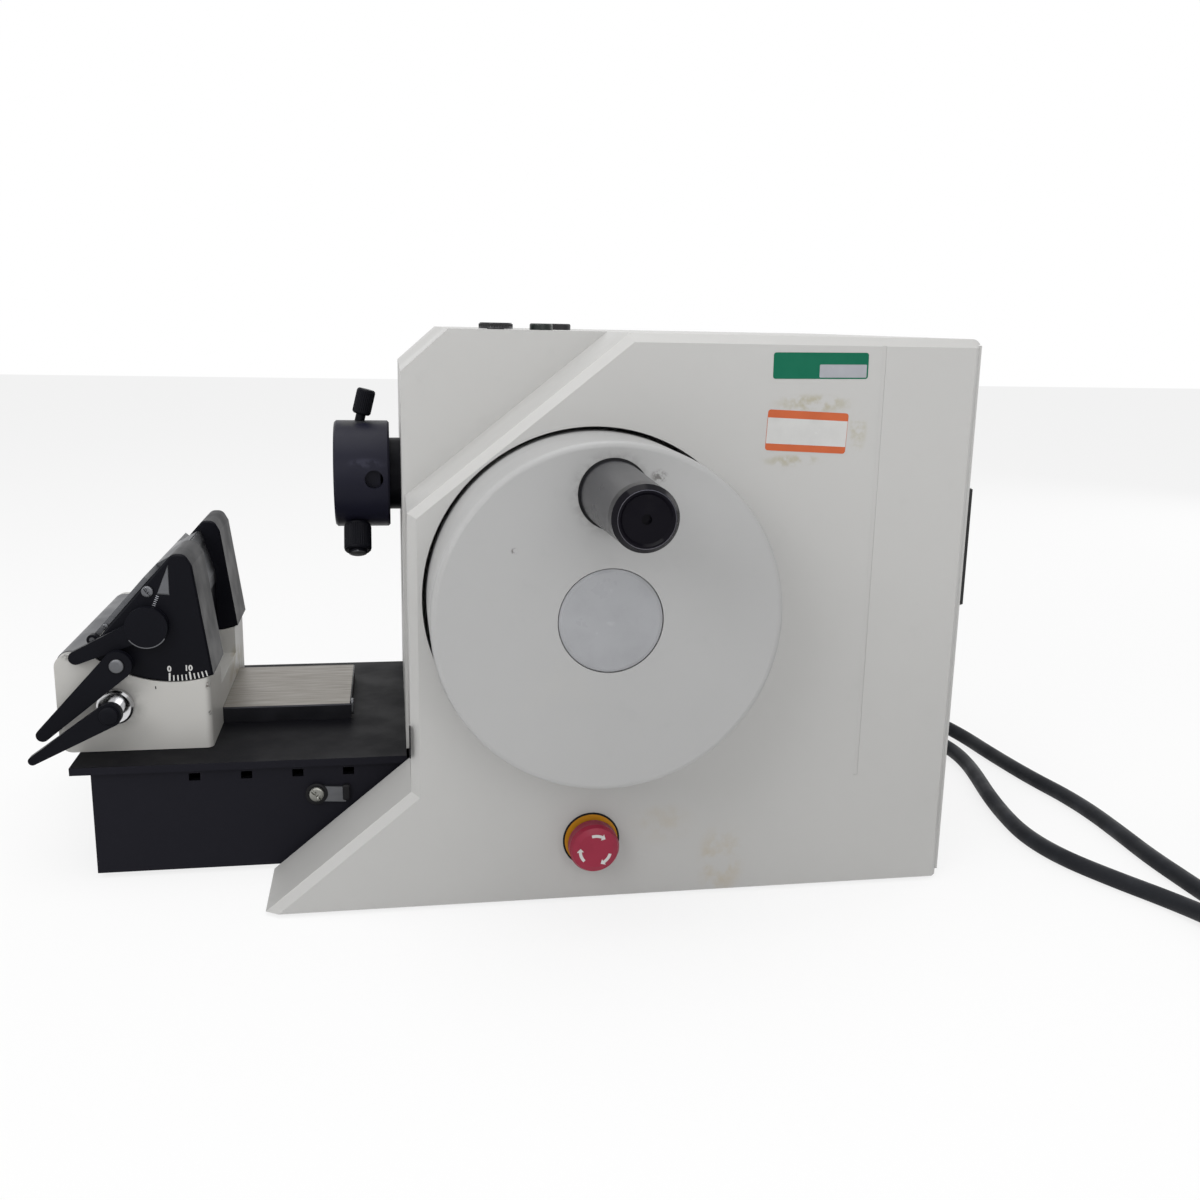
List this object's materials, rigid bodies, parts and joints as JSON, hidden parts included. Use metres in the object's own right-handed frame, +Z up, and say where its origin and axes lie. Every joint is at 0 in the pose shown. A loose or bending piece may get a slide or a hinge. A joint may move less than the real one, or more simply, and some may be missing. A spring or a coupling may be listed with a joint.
{
  "type": "rotary microtome",
  "caption": "Motorised rotary microtome with a side handwheel, a rising specimen arm with a tilting cassette head, and a sliding blade holder on a black base.",
  "frame": {"origin": "centre of the instrument's footprint box on the bench, cords left out", "axes": "+X from the knife holder towards the back of the instrument, -Y the handwheel side, +Z up"},
  "size_m": [0.7876, 0.5065, 0.3086],
  "materials": {
    "housing_white": "satin",
    "wheel_white": "satin",
    "base_black": "satin",
    "holder_white": "satin",
    "anodised_black": "satin",
    "steel": "brushed",
    "chrome": "polished",
    "blade_steel": "polished",
    "iron": "matt",
    "grey_plastic": "satin",
    "black_plastic": "matt",
    "glossy_black": "gloss",
    "red_plastic": "gloss",
    "yellow_plastic": "satin",
    "cap_white": "satin",
    "green_plastic": "satin",
    "rubber": "matt",
    "cord_black": "satin",
    "motor_grey": "matt"
  },
  "bodies": {
    "machine": {"main_housing": "housing_white", "side_pod": "housing_white", "rear_panel": "housing_white", "chassis": "iron", "base_box": "base_black", "base_deck": "base_black", "rubber_feet": "rubber", "guide_rail": "steel", "bearing_pedestal": "iron", "shaft_bearings": "steel", "drive_motor": "motor_grey", "drive_belt": "rubber", "slide_column": "iron", "stop_bezel": "yellow_plastic", "rear_sockets": "black_plastic", "mains_connector": "cord_black", "mains_lead": "cord_black", "mains_coil": "cord_black", "mains_plug": "cord_black", "control_connector": "cord_black", "control_lead": "cord_black", "control_coil": "cord_black", "control_plug": "cord_black"},
    "handwheel": {"handwheel": "wheel_white", "hub_cap": "cap_white", "drive_shaft": "steel", "crank_disc": "steel", "driven_pulley": "anodised_black"},
    "grip": {"grip_sleeve": "grey_plastic", "grip_cap": "glossy_black"},
    "slide_block": {"slide_block": "iron"},
    "motor_rotor": {"motor_pulley": "steel"},
    "carriage": {"carriage": "anodised_black", "front_shutter": "anodised_black", "feed_motor": "motor_grey"},
    "specimen_arm": {"specimen_arm": "anodised_black"},
    "feed_spindle": {"feed_spindle": "steel"},
    "tilt_ring": {"tilt_ring": "steel"},
    "orienting_head": {"orienting_disc": "anodised_black"},
    "cassette_jaw": {"moving_jaw": "steel"},
    "clamp_knob": {"clamp_knob": "anodised_black"},
    "lock_grip": {"lock_grip": "anodised_black"},
    "knife_holder": {"holder_base": "holder_white"},
    "segment": {"clearance_segment": "anodised_black", "blade_table": "steel", "blade": "blade_steel"},
    "pressure_plate": {"pressure_plate": "steel"},
    "blade_lever": {"blade_lever": "anodised_black"},
    "segment_lever": {"segment_lever": "anodised_black"},
    "guide_lever": {"guide_lever": "anodised_black", "guide_lever_boss": "chrome"},
    "stop_plunger": {"stop_plunger": "black_plastic"},
    "stop_button": {"stop_button": "red_plastic"},
    "top_knob": {"top_knob": "grey_plastic"},
    "start_button": {"start_button": "green_plastic"},
    "brake_button": {"brake_button": "black_plastic"},
    "lock_tab": {"lock_tab": "steel"},
    "coarse_wheel": {"coarse_wheel": "black_plastic"},
    "power_rocker": {"power_rocker": "glossy_black"}
  },
  "joints": [
    {"name": "handwheel_turn", "type": "hinge", "parent": "machine", "child": "handwheel", "pos_m": [0.0466, -0.1, 0.1704], "axis": [0, 1, 0], "continuous": true},
    {"name": "grip_spin", "type": "hinge", "parent": "handwheel", "child": "grip", "pos_m": [0.0466, -0.18, 0.2315], "axis": [0, 1, 0], "continuous": true},
    {"name": "slide_block_turn", "type": "hinge", "parent": "handwheel", "child": "slide_block", "pos_m": [0.0466, 0.008, 0.2024], "axis": [0, 1, 0], "continuous": true},
    {"name": "motor_turn", "type": "hinge", "parent": "machine", "child": "motor_rotor", "pos_m": [0.16, -0.045, 0.072], "axis": [0, 1, 0], "continuous": true},
    {"name": "carriage_lift", "type": "slide", "parent": "machine", "child": "carriage", "axis": [0, 0, 1], "range_m": [-0.064, 0]},
    {"name": "specimen_feed", "type": "slide", "parent": "carriage", "child": "specimen_arm", "axis": [-1, 0, 0], "range_m": [0, 0.025]},
    {"name": "spindle_turn", "type": "hinge", "parent": "carriage", "child": "feed_spindle", "pos_m": [0.02, 0.0674, 0.2152], "axis": [1, 0, 0], "range_deg": [-5, 4505]},
    {"name": "coarse_turn", "type": "hinge", "parent": "machine", "child": "coarse_wheel", "pos_m": [0.14, 0.2, 0.15], "axis": [0, 1, 0], "range_deg": [-5, 4505]},
    {"name": "side_tilt", "type": "hinge", "parent": "specimen_arm", "child": "tilt_ring", "pos_m": [-0.07, 0.0674, 0.2152], "axis": [0, 0, 1], "range_deg": [-8, 8]},
    {"name": "up_tilt", "type": "hinge", "parent": "tilt_ring", "child": "orienting_head", "pos_m": [-0.07, 0.0674, 0.2152], "axis": [0, 1, 0], "range_deg": [-8, 8]},
    {"name": "clamp_knob_turn", "type": "hinge", "parent": "orienting_head", "child": "clamp_knob", "pos_m": [-0.0767, 0.0474, 0.18056], "axis": [0, -0.5, -0.866], "range_deg": [0, 1120]},
    {"name": "jaw_slide", "type": "slide", "parent": "orienting_head", "child": "cassette_jaw", "axis": [0, 0, 1], "range_m": [0, 0.004]},
    {"name": "lock_grip_turn", "type": "hinge", "parent": "orienting_head", "child": "lock_grip", "pos_m": [-0.0745, 0.0674, 0.248], "axis": [0.2419, 0, 0.9703], "range_deg": [0, 120]},
    {"name": "knife_slide", "type": "slide", "parent": "machine", "child": "knife_holder", "axis": [1, 0, 0], "range_m": [-0.012, 0.042]},
    {"name": "clearance_tilt", "type": "hinge", "parent": "knife_holder", "child": "segment", "pos_m": [-0.178, 0.0674, 0.174], "axis": [0, 1, 0], "range_deg": [-2, 8]},
    {"name": "blade_clamp", "type": "hinge", "parent": "segment", "child": "blade_lever", "pos_m": [-0.1912, -0.015, 0.14], "axis": [0, 1, 0], "range_deg": [0, 60]},
    {"name": "pressure_open", "type": "hinge", "parent": "segment", "child": "pressure_plate", "pos_m": [-0.22201, 0.0674, 0.13149], "axis": [0, -1, 0], "range_deg": [0, 8.1]},
    {"name": "segment_clamp", "type": "hinge", "parent": "segment", "child": "segment_lever", "pos_m": [-0.20678, -0.02, 0.1201], "axis": [0, 1, 0], "range_deg": [0, 50]},
    {"name": "guide_clamp", "type": "hinge", "parent": "knife_holder", "child": "guide_lever", "pos_m": [-0.2109, -0.025, 0.0941], "axis": [0, 1, 0], "range_deg": [0, 50]},
    {"name": "stop_press", "type": "slide", "parent": "machine", "child": "stop_plunger", "axis": [0, 1, 0], "range_m": [0, 0.003], "stiffness_N_per_m": 1500},
    {"name": "stop_twist", "type": "hinge", "parent": "stop_plunger", "child": "stop_button", "pos_m": [0.0477, -0.105, 0.0356], "axis": [0, 1, 0], "range_deg": [0, 30], "stiffness_Nm_per_rad": 0.05},
    {"name": "thickness_knob_turn", "type": "hinge", "parent": "machine", "child": "top_knob", "pos_m": [0.0034, -0.006, 0.306], "axis": [0, 0, 1], "range_deg": [-150, 150]},
    {"name": "start_press", "type": "slide", "parent": "machine", "child": "start_button", "axis": [0, 0, -1], "range_m": [0, 0.0015], "stiffness_N_per_m": 600},
    {"name": "brake_press", "type": "slide", "parent": "machine", "child": "brake_button", "axis": [0, 0, -1], "range_m": [0, 0.0015], "stiffness_N_per_m": 600},
    {"name": "base_lock_turn", "type": "hinge", "parent": "machine", "child": "lock_tab", "pos_m": [-0.1008, -0.037, 0.0456], "axis": [0, 1, 0], "range_deg": [-20, 20]},
    {"name": "power_tip", "type": "hinge", "parent": "machine", "child": "power_rocker", "pos_m": [0.25, 0.168, 0.048], "axis": [0, 0, 1], "range_deg": [-8, 8]}
  ],
  "couplings": [
    {"joint": "motor_turn", "follows": "handwheel_turn", "ratio": 3},
    {"joint": "slide_block_turn", "follows": "handwheel_turn", "ratio": -1},
    {"joint": "spindle_turn", "follows": "specimen_feed", "rad_per_m": 3141.6},
    {"joint": "coarse_turn", "follows": "specimen_feed", "rad_per_m": 3141.6},
    {"joint": "jaw_slide", "follows": "clamp_knob_turn", "m_per_rad": 0.00019894},
    {"joint": "pressure_open", "follows": "blade_clamp", "ratio": 0.13333}
  ]
}
